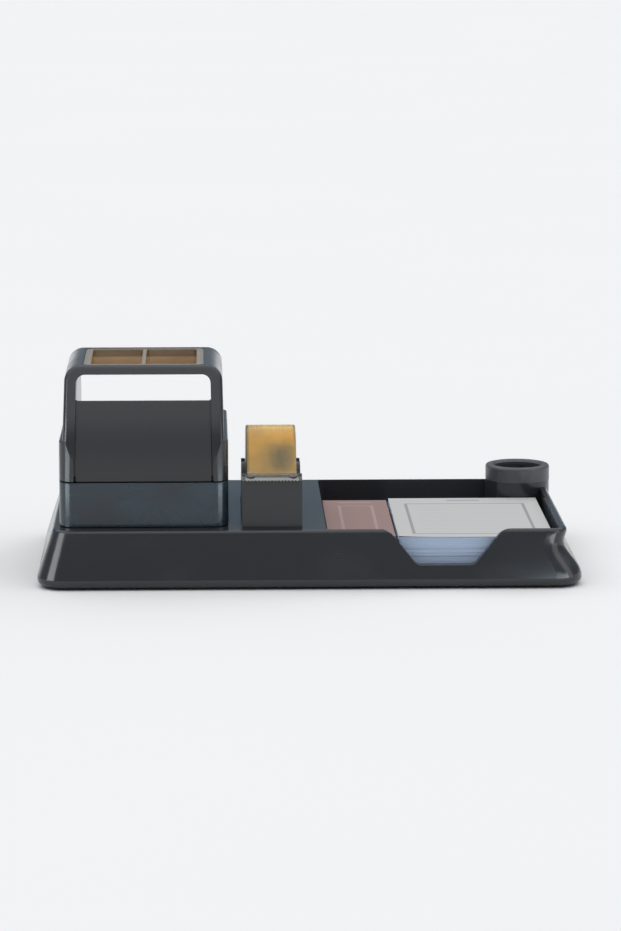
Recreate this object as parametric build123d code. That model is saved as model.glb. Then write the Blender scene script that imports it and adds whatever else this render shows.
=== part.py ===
from build123d import *

import os
from math import acos, atan2, cos, degrees, hypot, sin, sqrt

# Desk organizer: pen tower over a drawer, tape dispenser, memo tray and clip cup on one long base.
# Origin: middle of the footprint, on the desk. +X right, +Y back, +Z up. Millimetres.
# Left-to-right and front-to-back positions are worked out below from the widths and gaps.

# ---- Driving dimensions -------------------------------------------------------------------
# Paper and tape that the organizer holds
SHEET_WIDTH = 74.0
SHEET_LENGTH = 105.0
STACK_HEIGHT = 14.0
PAD_WIDTH = 32.0
PAD_LENGTH = 100.0
TAPE_WIDTH = 24.0
ROLL_DIAMETER = 59.0
CORE_BORE = 25.4
CORE_WALL = 1.6

# Base
BASE_TOP = 28.0
BASE_LIFT = 1.0
WALL = 2.4
DECK = 2.5
FLARE_LEFT = 7.5
FLARE_RIGHT = 8.4
FLARE_FRONT = 4.0
FLARE_BACK = 4.0
CURVE_BOTTOM = 5.0
CURVE_TOP = 21.0
BASE_CORNER = 13.0
TOP_CORNER = 10.0
BOTTOM_ROUNDING = 3.0
TOP_ROUNDING = 1.6
TRAY_FLOOR = 10.0
TRAY_FLOOR_THICKNESS = 2.0
TRAY_CORNER = 3.0
PARTITION = 2.4
NOTCH_WIDTH_TOP = 54.0
NOTCH_WIDTH_BOTTOM = 27.0
NOTCH_SILL = 1.4
NOTCH_RADIUS = 4.5
NOTCH_OFFSET = 14.8

# Bottom plate, feet, screws and ballast
PLATE = 2.0
PLATE_INSET = 5.0
HOLLOW_INSET = 6.5
HOLLOW_DRAFT = 0.6
FOOT_RADIUS = 6.0
FOOT_HEIGHT = 2.0
FOOT_INSET_SIDE = 19.0
FOOT_INSET_END = 30.4
FOOT_ROUNDING = 0.5
SCREW_RADIUS = 1.45
SCREW_HEAD_RADIUS = 2.8
SCREW_HEAD = 1.6
SCREW_LENGTH = 6.2
SCREW_RECESS = 0.4
COLLAR_RADIUS = 5.0
COLLAR_HEIGHT = 1.6
BOSS_RADIUS = 3.5
PLATE_SCREW_LEFT = 18.0
PLATE_SCREW_RIGHT = 30.0
PLATE_SCREW_EDGE = 14.5
BALLAST_WIDTH = 66.0
BALLAST_DEPTH = 84.0
BALLAST_HEIGHT = 5.0
BALLAST_SETBACK = 14.0
BALLAST_CORNER = 3.0
BALLAST_SCREW_INSET = 8.0
BALLAST_SCREW_HEAD_RADIUS = 5.5
STUD_FLOOR = 0.8

# Gaps between the pieces on the base
TOWER_INSET = 3.0
TOWER_SETBACK = 9.0
DISPENSER_GAP = 6.5
PARTITION_GAP = 8.8
PAPER_GAP = 1.0
SHEET_SIDE_GAP = 2.6
SHEET_FRONT_GAP = 1.2
CUP_GAP = 0.8
CUP_BACK_GAP = 0.6

# Pen tower
OVERALL_HEIGHT = 103.0
TOWER_WIDTH = 80.0
TOWER_DEPTH = 105.0
TOWER_WALL = 2.5
TOWER_CORNER = 8.0
SHOULDER = 41.0
SHOULDER_STEP = 1.45
TOP_TAPER = 1.2
FRONT_LEAN = 17.0
BACK_LEAN = 23.0
BEND = 60.0
SHOULDER_ROUNDING = 0.8
LEG = 5.6
TOP_BAR = 4.1
ARCH_CORNER = 7.5
WINDOW_CORNER = 4.0
RIM_ROUNDING = 2.8
WINDOW_HEIGHT = 11.8
PANEL_RECESS = 0.8
PANEL = 2.4
PANEL_RIB = 1.6
PANEL_TOP_ROUNDING = 0.8
FLOOR_PLATE = 2.0
FLOOR_LEDGE = 2.0
LEDGE_HEIGHT = 1.2
POST_RADIUS = 4.0
POST_INSET = 6.0
POST_HEIGHT = 20.0
TONGUE = 12.0
TONGUE_DEPTH = 3.4
TONGUE_SETBACK = 17.0

# Amber insert in the top bar
SLOT_WIDTH = 54.0
SLOT_DEPTH = 56.0
INSERT_FLANGE = 1.5
INSERT_FLANGE_THICKNESS = 1.2
INSERT_WALL = 1.6
INSERT_DIVIDER = 1.8
INSERT_FRONT_SKIRT = 4.0
INSERT_BACK_SKIRT = 12.0
INSERT_CORNER = 2.5

# Drawer
DRAWER_LIFT = 0.4
DRAWER_FRONT_HEIGHT = 21.0
DRAWER_FRONT = 2.6
DRAWER_RETURN = 9.0
DRAWER_WALL = 1.8
DRAWER_SIDE_HEIGHT = 18.4
DRAWER_TRAVEL = 70.0
STOP_TAB = 10.0
STOP_OVERLAP = 1.6
STOP_THICKNESS = 2.0
DRAWER_EDGE_ROUNDING = 0.6
DRAWER_INNER_CORNER = 1.5

# Tape dispenser
DISPENSER_SETBACK = 9.0
BLOCK_HEIGHT = 24.0
BLOCK_DEPTH = 11.0
BLOCK_LEAN = 1.4
BLADE_DROP = 2.1
RIDGE = 4.0
CHEEK = 1.9
CHEEK_DIP = 12.0
CHEEK_DIP_START = 5.0
AXLE_TAB_TOP = 8.0
AXLE_TAB_FOOT = 13.0
CHEEK_END_HEIGHT = 6.0
CHEEK_END_RUN = 4.0
BLOCK_ROUNDINGS = [0, 0.6, 0, 0.5, 1.0]
CHEEK_ROUNDINGS = [5.0, 6.0, 5.0, 6.0, 8.0, 0]
BLOCK_POST_INSET = 6.0
BLOCK_POST_SHIFT = 0.4
AXLE_BACK = 49.0
AXLE_HEIGHT = 11.5
AXLE_RADIUS = 3.0
TUB_WALL = 1.5
HUB_WALL = 1.6
HUB_BOSS = 5.0
HUB_OVERLAP = 5.0
BLADE = 0.6
BLADE_INSET = 1.6
BLADE_OVERHANG = 1.5
BLADE_TEETH = 16
TOOTH_SHARE = 0.7
RIVET_RADIUS = 1.0
RIVET_LENGTH = 1.6
RIVET_HEAD = 0.5
RIVET_HEAD_RADIUS = 1.8
RIVET_INSET = 4.2
RIVET_SETBACK = 2.0
TAPE_LEAD = 0.3

# Clip cup
SOCKET_RADIUS = 16.0
SOCKET_WALL = 1.8
SOCKET_RISE = 3.0
CUP_OVERHANG = 3.1
CUP_WALL = 1.4
CUP_FLOOR = 1.5
CUP_RISE = 2.0
COLLAR_RISE = 7.4
MAGNET_HEIGHT = 2.8
MAGNET_WALL = 2.4
COLLAR_ROUNDING = 1.2
COLLAR_DISH = 1.0

# Clearances, and how far shapes that fuse run into each other
FIT = 0.2
LAP = 0.5
MOVING_GAP = 0.5
SEAM = 0.6
ROLL_SIDE_GAP = 0.3
ROLL_UNDER_GAP = 2.0
RUNNING = 0.06

# ---- Places that follow from the dimensions -------------------------------------------------
DISPENSER_WIDTH = TAPE_WIDTH + 2 * (ROLL_SIDE_GAP + CHEEK)
TOP_LENGTH = (
    TOWER_INSET + TOWER_WIDTH + DISPENSER_GAP + DISPENSER_WIDTH + PARTITION_GAP + PARTITION
    + PAPER_GAP + PAD_WIDTH + PAPER_GAP + SHEET_WIDTH + SHEET_SIDE_GAP + WALL
)
BASE_LENGTH = FLARE_LEFT + TOP_LENGTH + FLARE_RIGHT
TOP_DEPTH = WALL + SHEET_FRONT_GAP + SHEET_LENGTH + CUP_GAP + 2 * SOCKET_RADIUS + CUP_BACK_GAP
BASE_DEPTH = FLARE_FRONT + TOP_DEPTH + FLARE_BACK

BASE_LEFT, BASE_RIGHT = -BASE_LENGTH / 2, BASE_LENGTH / 2
BASE_FRONT, BASE_BACK = -BASE_DEPTH / 2, BASE_DEPTH / 2
TOP_LEFT, TOP_RIGHT = BASE_LEFT + FLARE_LEFT, BASE_RIGHT - FLARE_RIGHT
TOP_FRONT, TOP_BACK = BASE_FRONT + FLARE_FRONT, BASE_BACK - FLARE_BACK

TOWER_X0 = TOP_LEFT + TOWER_INSET
TOWER_X1 = TOWER_X0 + TOWER_WIDTH
TOWER_X = (TOWER_X0 + TOWER_X1) / 2
TOWER_Y0 = TOP_FRONT + TOWER_SETBACK
TOWER_Y1 = TOWER_Y0 + TOWER_DEPTH
BLOCK_X0 = TOWER_X1 + DISPENSER_GAP
BLOCK_X1 = BLOCK_X0 + DISPENSER_WIDTH
BLOCK_X = (BLOCK_X0 + BLOCK_X1) / 2
BLOCK_Y0 = TOP_FRONT + DISPENSER_SETBACK
AXLE_Y = BLOCK_Y0 + AXLE_BACK
AXLE_Z = BASE_TOP + AXLE_HEIGHT
PARTITION_X0 = BLOCK_X1 + PARTITION_GAP
TRAY_X0 = PARTITION_X0 + PARTITION
TRAY_X1 = TOP_RIGHT - WALL
TRAY_Y0, TRAY_Y1 = TOP_FRONT + WALL, TOP_BACK - WALL
PAD_X0 = TRAY_X0 + PAPER_GAP
SHEET_X0 = PAD_X0 + PAD_WIDTH + PAPER_GAP
SHEET_Y0 = TRAY_Y0 + SHEET_FRONT_GAP
CUP_X = TOP_RIGHT + CUP_OVERHANG - SOCKET_RADIUS
CUP_Y = SHEET_Y0 + SHEET_LENGTH + CUP_GAP + SOCKET_RADIUS
SOCKET_TOP = BASE_TOP + SOCKET_RISE

PLATE_TOP = BASE_LIFT + PLATE
SHELL_FRONT_Z = BASE_TOP + DRAWER_LIFT + DRAWER_FRONT_HEIGHT + SEAM
SHOULDER_Z = BASE_TOP + SHOULDER
FLOOR_TOP = SHELL_FRONT_Z + FLOOR_PLATE
SILL_Z = OVERALL_HEIGHT - TOP_BAR - WINDOW_HEIGHT
PLATE_Y0, PLATE_Y1 = TOWER_Y0 + FRONT_LEAN, TOWER_Y1 - BACK_LEAN
SLOT_Y = (PLATE_Y0 + PLATE_Y1) / 2
DRAWER_Y1 = TOWER_Y1 - POST_INSET - POST_RADIUS - MOVING_GAP
BLOCK_TOP = BASE_TOP + BLOCK_HEIGHT


# ---- Small builders -------------------------------------------------------------------------
def slab(x0, x1, y0, y1, z0, z1, radius=0.0):
    """Block between two corners, its upright edges rounded when a radius is given."""
    width, depth = x1 - x0, y1 - y0
    outline = RectangleRounded(width, depth, radius) if radius else Rectangle(width, depth)
    return extrude(Pos((x0 + x1) / 2, (y0 + y1) / 2, z0) * outline, amount=z1 - z0)


def rod(x, y, z0, z1, radius):
    """Upright cylinder."""
    return Pos(x, y, (z0 + z1) / 2) * Cylinder(radius, z1 - z0)


def drum(x0, x1, y, z, radius):
    """Cylinder lying along X."""
    return Pos((x0 + x1) / 2, y, z) * Rot(0, 90, 0) * Cylinder(radius, x1 - x0)


def outline_face(points, radii):
    """Flat face inside a closed outline with one rounding radius a corner."""
    return make_face(FilletPolyline(*points, radius=radii, close=True))


def seen_from_front(points, radii, y0, y1):
    """Outline of (x, z) points, drawn out from y0 to y1."""
    plane = Plane(origin=(0, y1, 0), x_dir=(1, 0, 0), z_dir=(0, -1, 0))
    return extrude(plane * outline_face(points, radii), amount=y1 - y0)


def seen_from_side(points, radii, x0, x1):
    """Outline of (y, z) points, drawn out from x0 to x1."""
    plane = Plane(origin=(x0, 0, 0), x_dir=(0, 1, 0), z_dir=(1, 0, 0))
    return extrude(plane * outline_face(points, radii), amount=x1 - x0)


def group(pieces):
    """Separate solids kept together in one node."""
    return Compound(children=[solid for piece in pieces for solid in piece.solids()])


def screw(x, y, seat, up_to, radius=SCREW_RADIUS):
    """Pan-head screw standing on its head, which bears on the seat height from below."""
    return rod(x, y, seat - SCREW_HEAD, seat, SCREW_HEAD_RADIUS) + rod(x, y, seat, up_to, radius)


# ---- Base -------------------------------------------------------------------------------------
def curved_in(z):
    """Share of the right-hand flare that is already gone at a height: 0 at the foot, 1 above."""
    t = min(max((z - CURVE_BOTTOM) / (CURVE_TOP - CURVE_BOTTOM), 0.0), 1.0)
    return t * t * (3 - 2 * t)


def base_section(z, inset=0.0):
    """Outline of the base at one height."""
    rise = min(max((z - CURVE_BOTTOM) / (BASE_TOP - CURVE_BOTTOM), 0.0), 1.0)
    x0 = BASE_LEFT + FLARE_LEFT * rise + inset
    x1 = BASE_RIGHT - FLARE_RIGHT * curved_in(z) - inset
    y0 = BASE_FRONT + FLARE_FRONT * rise + inset
    y1 = BASE_BACK - FLARE_BACK * rise - inset
    radius = BASE_CORNER + (TOP_CORNER - BASE_CORNER) * rise - inset
    return Pos((x0 + x1) / 2, (y0 + y1) / 2, z) * RectangleRounded(x1 - x0, y1 - y0, radius)


def base_outside():
    """Outer body of the base: a short upright foot, then a flare that runs out at the top."""
    steps = 6
    heights = [CURVE_BOTTOM + (CURVE_TOP - CURVE_BOTTOM) * i / steps for i in range(steps + 1)]
    flare = loft([base_section(z) for z in heights + [BASE_TOP]])
    flare = fillet(flare.faces().sort_by(Axis.Z)[-1].edges(), TOP_ROUNDING)
    foot = extrude(base_section(CURVE_BOTTOM), amount=BASE_LIFT - CURVE_BOTTOM)
    foot = fillet(foot.faces().sort_by(Axis.Z)[0].edges(), BOTTOM_ROUNDING)
    return flare + foot


def plate_outline(clearance=0.0):
    """Corners and rounding of the bottom plate's recess."""
    inset = PLATE_INSET + clearance
    return (
        BASE_LEFT + inset, BASE_RIGHT - inset, BASE_FRONT + inset, BASE_BACK - inset,
        BASE_CORNER - inset,
    )


def plinth_hollow():
    """Drafted hollow under the deck, left of the partition."""
    inset, x1 = HOLLOW_INSET, PARTITION_X0 - WALL
    low = slab(BASE_LEFT + inset, x1, BASE_FRONT + inset, BASE_BACK - inset, PLATE_TOP, PLATE_TOP + 1)
    end = WALL + HOLLOW_DRAFT
    high = slab(
        BASE_LEFT + FLARE_LEFT + WALL, x1, BASE_FRONT + FLARE_FRONT + end, BASE_BACK - FLARE_BACK - end,
        BASE_TOP - DECK - 1, BASE_TOP - DECK,
    )
    return loft([low.faces().sort_by(Axis.Z)[0], high.faces().sort_by(Axis.Z)[-1]], ruled=True)


def tray_hollow_below():
    """Shallow hollow under the tray floor."""
    inset = HOLLOW_INSET
    return slab(
        PARTITION_X0, BASE_RIGHT - inset, BASE_FRONT + inset, BASE_BACK - inset,
        PLATE_TOP, TRAY_FLOOR - TRAY_FLOOR_THICKNESS, BASE_CORNER - inset,
    )


def screw_spots():
    """Places of the bottom plate's screws: along the front and the back."""
    xs = [BASE_LEFT + PLATE_SCREW_LEFT, BLOCK_X, BASE_RIGHT - PLATE_SCREW_RIGHT]
    ys = [BASE_FRONT + PLATE_SCREW_EDGE, BASE_BACK - PLATE_SCREW_EDGE]
    return [(x, y) for x in xs for y in ys]


def tower_post_spots():
    """Centres of the two screw posts at the back of the tower."""
    y = TOWER_Y1 - POST_INSET
    return [(TOWER_X0 + POST_INSET, y), (TOWER_X1 - POST_INSET, y)]


def dispenser_post_spots():
    """Centres of the two screw posts inside the dispenser's front block."""
    y = BLOCK_Y0 + BLOCK_DEPTH / 2 + BLOCK_POST_SHIFT
    reach = DISPENSER_WIDTH / 2 - BLOCK_POST_INSET
    return [(BLOCK_X - reach, y), (BLOCK_X + reach, y)]


def finger_notch():
    """Trapezoid cut through the tray's front wall, for a thumb."""
    x = SHEET_X0 + SHEET_WIDTH / 2 - NOTCH_OFFSET
    low, high = NOTCH_WIDTH_BOTTOM / 2, NOTCH_WIDTH_TOP / 2
    sill = TRAY_FLOOR + NOTCH_SILL
    over = 20.0
    slope = (high - low) / (BASE_TOP - sill)
    points = [
        (x - low, sill), (x + low, sill), (x + high, BASE_TOP),
        (x + high + over, BASE_TOP), (x + high + over, BASE_TOP + over),
        (x - high - over, BASE_TOP + over), (x - high - over, BASE_TOP), (x - high, BASE_TOP),
    ]
    radii = [NOTCH_RADIUS, NOTCH_RADIUS, NOTCH_RADIUS * (1 + slope), 0, 0, 0, 0, NOTCH_RADIUS * (1 + slope)]
    return seen_from_front(points, radii, BASE_FRONT - 1, TRAY_Y0 + LAP)


def base_shell():
    """Main moulding: plinth deck, partition, memo tray and cup socket."""
    body = base_outside()
    body -= slab(*plate_outline()[:4], BASE_LIFT - 1, PLATE_TOP, plate_outline()[4])
    body -= plinth_hollow() + tray_hollow_below()
    for x, y in screw_spots():
        top = BASE_TOP - DECK if x < PARTITION_X0 else TRAY_FLOOR - TRAY_FLOOR_THICKNESS
        body += rod(x, y, PLATE_TOP + COLLAR_HEIGHT, top + LAP, BOSS_RADIUS)
    body += rod(CUP_X, CUP_Y, TRAY_FLOOR - TRAY_FLOOR_THICKNESS, SOCKET_TOP, SOCKET_RADIUS)
    body -= slab(TRAY_X0, TRAY_X1, TRAY_Y0, TRAY_Y1, TRAY_FLOOR, BASE_TOP + 1, TRAY_CORNER) - rod(
        CUP_X, CUP_Y, TRAY_FLOOR, SOCKET_TOP, SOCKET_RADIUS
    )
    body -= rod(CUP_X, CUP_Y, TRAY_FLOOR, SOCKET_TOP + 1, SOCKET_RADIUS - SOCKET_WALL)
    body -= finger_notch()
    # Well opening for the roll, slots for the tower's tongues and holes for screws from below
    body -= slab(
        BLOCK_X0 - FIT, BLOCK_X1 + FIT, well_front() - FIT, well_back() + FIT,
        BASE_TOP - DECK - 1, BASE_TOP + 1,
    )
    for x0, x1, y0, y1 in tongue_spots():
        body -= slab(x0 - FIT, x1 + FIT, y0 - FIT, y1 + FIT, BASE_TOP - DECK - 1, BASE_TOP + 1)
    for x, y in tower_post_spots() + dispenser_post_spots():
        body -= rod(x, y, BASE_TOP - DECK - 1, BASE_TOP + 1, SCREW_RADIUS + FIT)
    for x, y in screw_spots():
        body -= rod(x, y, PLATE_TOP, screw_tip() + FIT, SCREW_RADIUS)
    return body


def screw_seat():
    """Height of the face that the bottom plate's screw heads bear on."""
    return BASE_LIFT + SCREW_HEAD + SCREW_RECESS


def screw_tip():
    """Height of the tips of the bottom plate's screws."""
    return screw_seat() + SCREW_LENGTH


def foot_spots():
    """Centres of the four feet."""
    xs = [BASE_LEFT + FOOT_INSET_SIDE, BASE_RIGHT - FOOT_INSET_SIDE]
    ys = [BASE_FRONT + FOOT_INSET_END, BASE_BACK - FOOT_INSET_END]
    return [(x, y) for x in xs for y in ys]


def ballast_corner():
    """Left front corner of the ballast plate, under the tower."""
    return TOWER_X - BALLAST_WIDTH / 2, TOWER_Y0 + BALLAST_SETBACK


def ballast_screw_spots():
    """Centres of the two screws that hold the ballast."""
    x0, y0 = ballast_corner()
    y = y0 + BALLAST_DEPTH / 2
    return [(x0 + BALLAST_SCREW_INSET, y), (x0 + BALLAST_WIDTH - BALLAST_SCREW_INSET, y)]


def bottom_plate():
    """Flat plate with screw collars, pockets for the feet and two studs for the ballast."""
    plate = slab(*plate_outline(FIT)[:4], BASE_LIFT, PLATE_TOP, plate_outline(FIT)[4])
    for x, y in screw_spots():
        plate += rod(x, y, PLATE_TOP, PLATE_TOP + COLLAR_HEIGHT - FIT / 2, COLLAR_RADIUS)
        plate -= rod(x, y, BASE_LIFT, screw_seat(), SCREW_HEAD_RADIUS + FIT)
        plate -= rod(x, y, BASE_LIFT, PLATE_TOP + COLLAR_HEIGHT, SCREW_RADIUS + FIT)
    for x, y in foot_spots():
        plate -= rod(x, y, 0, FOOT_HEIGHT, FOOT_RADIUS + FIT / 2)
    for x, y in ballast_screw_spots():
        plate += rod(x, y, PLATE_TOP, PLATE_TOP + BALLAST_HEIGHT - FIT, BOSS_RADIUS)
        plate -= rod(x, y, BASE_LIFT + STUD_FLOOR, PLATE_TOP + BALLAST_HEIGHT, SCREW_RADIUS)
    return plate


def ballast_plate():
    """Steel plate that keeps the organizer still when tape is torn off."""
    x0, y0 = ballast_corner()
    plate = slab(
        x0, x0 + BALLAST_WIDTH, y0, y0 + BALLAST_DEPTH, PLATE_TOP, PLATE_TOP + BALLAST_HEIGHT, BALLAST_CORNER
    )
    for x, y in ballast_screw_spots():
        plate -= rod(x, y, PLATE_TOP - 1, PLATE_TOP + BALLAST_HEIGHT + 1, BOSS_RADIUS + FIT)
    return plate


def ballast_screws():
    """Two screws with wide heads over the ballast plate."""
    seat = PLATE_TOP + BALLAST_HEIGHT
    return group(
        rod(x, y, seat, seat + SCREW_HEAD, BALLAST_SCREW_HEAD_RADIUS)
        + rod(x, y, seat - SCREW_LENGTH + 1.0, seat, SCREW_RADIUS - RUNNING)
        for x, y in ballast_screw_spots()
    )


def plate_screws():
    """Screws from below, through the plate into the base."""
    return group(screw(x, y, screw_seat(), screw_tip()) for x, y in screw_spots())


def rubber_feet():
    """Four discs in pockets of the bottom plate, their edges rounded."""
    feet = [rod(x, y, 0, FOOT_HEIGHT, FOOT_RADIUS) for x, y in foot_spots()]
    return group(fillet(foot.faces().sort_by(Axis.Z)[0].edges(), FOOT_ROUNDING) for foot in feet)


# ---- Pen tower ----------------------------------------------------------------------------------
def tongue_spots():
    """Tongues under the tower's side walls that drop through slots in the deck."""
    y0 = TOWER_Y0 + TONGUE_SETBACK
    return [
        (TOWER_X0, TOWER_X0 + TOWER_WALL, y0, y0 + TONGUE),
        (TOWER_X1 - TOWER_WALL, TOWER_X1, y0, y0 + TONGUE),
    ]


def side_block():
    """Side view of the tower, drawn out over its width: upright, then bending in to the top bar."""
    points = [
        (TOWER_Y0, BASE_TOP), (TOWER_Y0, SHOULDER_Z), (PLATE_Y0, OVERALL_HEIGHT),
        (PLATE_Y1, OVERALL_HEIGHT), (TOWER_Y1, SHOULDER_Z), (TOWER_Y1, BASE_TOP),
    ]
    return seen_from_side(points, [0, BEND, 0, 0, BEND, 0], TOWER_X0, TOWER_X1)


def footprint_block(z0, z1, inset=0.0):
    """Tower's footprint with its rounded corners, drawn out between two heights."""
    return slab(
        TOWER_X0 + inset, TOWER_X1 - inset, TOWER_Y0 + inset, TOWER_Y1 - inset, z0, z1, TOWER_CORNER - inset
    )


def arch_outline(offset, z0, z1):
    """Front view of the arch: two legs that lean in a little and a top edge."""
    left, right = TOWER_X0 + SHOULDER_STEP + offset, TOWER_X1 - SHOULDER_STEP - offset
    return [(left, z0), (right, z0), (right - TOP_TAPER, z1), (left + TOP_TAPER, z1)]


def arch_body():
    """Upper part of the tower: legs and top bar, open from front to back."""
    outside = seen_from_front(
        arch_outline(0, FLOOR_TOP + FIT, OVERALL_HEIGHT), [0, 0, ARCH_CORNER, ARCH_CORNER], TOWER_Y0, TOWER_Y1
    )
    outside &= side_block()
    outside = fillet([edge for edge in outside.edges() if is_rim(edge)], RIM_ROUNDING)
    outside &= footprint_block(BASE_TOP, OVERALL_HEIGHT)
    inside = seen_from_front(
        arch_outline(LEG, BASE_TOP, OVERALL_HEIGHT - TOP_BAR), [0, 0, WINDOW_CORNER, WINDOW_CORNER],
        TOWER_Y0 - 1, TOWER_Y1 + 1,
    )
    return outside - inside


def is_rim(edge):
    """Whether an edge of the arch runs round its front or its back."""
    along, middle = edge.tangent_at(0.5), edge.center()
    runs_back = abs(along.Y) > 0.95
    crosses_face = abs(along.X) > 0.95 and middle.Z < OVERALL_HEIGHT - 1
    return not runs_back and not crosses_face


def casing_body():
    """Lower part of the tower, round the drawer and the pens."""
    outside = footprint_block(BASE_TOP, SHOULDER_Z)
    outside = fillet(outside.faces().sort_by(Axis.Z)[-1].edges(), SHOULDER_ROUNDING)
    return (outside & side_block()) - footprint_block(BASE_TOP - 1, SHOULDER_Z + 1, TOWER_WALL)


def leg_inner_x(z):
    """Left and right inner faces of the legs at a height."""
    lean = TOP_TAPER * (z - FLOOR_TOP - FIT) / (OVERALL_HEIGHT - FLOOR_TOP - FIT)
    return TOWER_X0 + SHOULDER_STEP + LEG + lean, TOWER_X1 - SHOULDER_STEP - LEG - lean


def panel_side(gap_front, depth):
    """Side view of the front panel or of the ribs behind it, parallel to the tower's front."""
    run = OVERALL_HEIGHT - SHOULDER_Z
    sill_lean = FRONT_LEAN * (SILL_Z - SHOULDER_Z) / run
    y0, y1 = TOWER_Y0 + gap_front, TOWER_Y0 + gap_front + depth
    return [
        (y0, SHELL_FRONT_Z), (y0, SHOULDER_Z), (y0 + sill_lean, SILL_Z),
        (y1 + sill_lean, SILL_Z), (y1, SHOULDER_Z), (y1, SHELL_FRONT_Z),
    ]


def tower_shell():
    """Arched body of the tower in one moulding."""
    shell = casing_body() + arch_body()
    # Front opening for the panel, and the lower front cut away for the drawer's front
    left, right = leg_inner_x(FLOOR_TOP + FIT)
    shell -= slab(left, right, TOWER_Y0 - 1, TOWER_Y0 + TOWER_WALL + 1, BASE_TOP - 1, SHOULDER_Z + 1)
    shell -= slab(
        TOWER_X0 - 1, TOWER_X1 + 1, TOWER_Y0 - 1, TOWER_Y0 + DRAWER_RETURN + MOVING_GAP,
        BASE_TOP - 1, SHELL_FRONT_Z,
    )
    # Ribs on the legs that the panel rests against
    for x0, x1 in [(left - 1.0, left + PANEL_RIB), (right - PANEL_RIB, right + 1.0)]:
        rib = seen_from_side(panel_side(PANEL_RECESS + PANEL, PANEL_RIB), [0, BEND, 0, 0, BEND, 0], x0, x1)
        shell += rib & slab(x0, x1, TOWER_Y0, TOWER_Y1, FLOOR_TOP + FIT, OVERALL_HEIGHT)
    # Ledges under the pen floor, screw posts and tongues
    for x0, x1 in [
        (TOWER_X0 + TOWER_WALL - LAP, TOWER_X0 + TOWER_WALL + FLOOR_LEDGE),
        (TOWER_X1 - TOWER_WALL - FLOOR_LEDGE, TOWER_X1 - TOWER_WALL + LAP),
    ]:
        y0 = TOWER_Y0 + DRAWER_RETURN + MOVING_GAP
        shell += slab(x0, x1, y0, TOWER_Y1 - TOWER_WALL, SHELL_FRONT_Z - LEDGE_HEIGHT, SHELL_FRONT_Z)
    for x, y in tower_post_spots():
        shell += rod(x, y, BASE_TOP, BASE_TOP + POST_HEIGHT, POST_RADIUS)
        shell -= rod(x, y, BASE_TOP - 1, BASE_TOP + SCREW_LENGTH, SCREW_RADIUS)
    for x0, x1, y0, y1 in tongue_spots():
        shell += slab(x0, x1, y0, y1, BASE_TOP - TONGUE_DEPTH, BASE_TOP + 1)
    # Opening in the top bar, with a rebate for the insert's flange
    shell -= slot_block(0, OVERALL_HEIGHT - TOP_BAR - 1, OVERALL_HEIGHT + 1)
    shell -= slot_block(INSERT_FLANGE + FIT, OVERALL_HEIGHT - INSERT_FLANGE_THICKNESS, OVERALL_HEIGHT + 1)
    return shell


def slot_block(grow, z0, z1):
    """Block the size of the opening in the top bar, grown on every side."""
    half_x, half_y = SLOT_WIDTH / 2 + grow, SLOT_DEPTH / 2 + grow
    radius = INSERT_CORNER + grow
    return slab(TOWER_X - half_x, TOWER_X + half_x, SLOT_Y - half_y, SLOT_Y + half_y, z0, z1, radius)


def tower_panel():
    """Flat front panel between the legs, from the drawer's top to the window's sill."""
    left, right = leg_inner_x(SILL_Z)
    radii = [0, BEND, PANEL_TOP_ROUNDING, PANEL_TOP_ROUNDING, BEND, 0]
    return seen_from_side(panel_side(PANEL_RECESS, PANEL), radii, left + FIT, right - FIT)


def pen_floor():
    """Floor under the pens, with two nibs below it that stop the drawer."""
    x0, x1 = TOWER_X0 + TOWER_WALL + FIT, TOWER_X1 - TOWER_WALL - FIT
    y0 = TOWER_Y0 + PANEL_RECESS + PANEL + FIT
    floor = slab(
        x0, x1, y0, TOWER_Y1 - TOWER_WALL - FIT, SHELL_FRONT_Z, FLOOR_TOP, TOWER_CORNER - TOWER_WALL
    )
    for x in stop_places():
        y = DRAWER_Y1 - DRAWER_WALL - DRAWER_TRAVEL - FIT
        floor += slab(
            x - STOP_TAB / 2, x + STOP_TAB / 2, y - STOP_THICKNESS, y, nib_bottom(), SHELL_FRONT_Z + LAP
        )
    return floor


def stop_places():
    """Middles of the drawer's two stops, across the tower."""
    return [TOWER_X - TOWER_WIDTH / 4, TOWER_X + TOWER_WIDTH / 4]


def nib_bottom():
    """Underside of the stop nibs, above the drawer's side walls."""
    return SHELL_FRONT_Z - MOVING_GAP - STOP_OVERLAP


def pen_insert():
    """Amber frame with two cells: a flange in the rebate and skirts that deepen to the back."""
    top = OVERALL_HEIGHT - FIT
    flange = slot_block(INSERT_FLANGE, OVERALL_HEIGHT - INSERT_FLANGE_THICKNESS, top)
    skirt = slot_block(-FIT, OVERALL_HEIGHT - INSERT_BACK_SKIRT, top)
    x0, x1 = TOWER_X - SLOT_WIDTH / 2, TOWER_X + SLOT_WIDTH / 2
    y0, y1 = SLOT_Y - SLOT_DEPTH / 2, SLOT_Y + SLOT_DEPTH / 2
    wedge = seen_from_side(
        [
            (y0, OVERALL_HEIGHT - INSERT_FRONT_SKIRT), (y1, OVERALL_HEIGHT - INSERT_BACK_SKIRT),
            (y1, OVERALL_HEIGHT + 1), (y0, OVERALL_HEIGHT + 1),
        ],
        0, x0, x1,
    )
    frame = flange + (skirt & wedge)
    half = SLOT_WIDTH / 2 - FIT - INSERT_WALL
    depth = SLOT_DEPTH / 2 - FIT - INSERT_WALL
    for x0, x1 in [
        (TOWER_X - half, TOWER_X - INSERT_DIVIDER / 2),
        (TOWER_X + INSERT_DIVIDER / 2, TOWER_X + half),
    ]:
        z0 = OVERALL_HEIGHT - INSERT_BACK_SKIRT - 1
        frame -= slab(x0, x1, SLOT_Y - depth, SLOT_Y + depth, z0, OVERALL_HEIGHT + 1, INSERT_CORNER - 1)
    return frame


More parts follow.
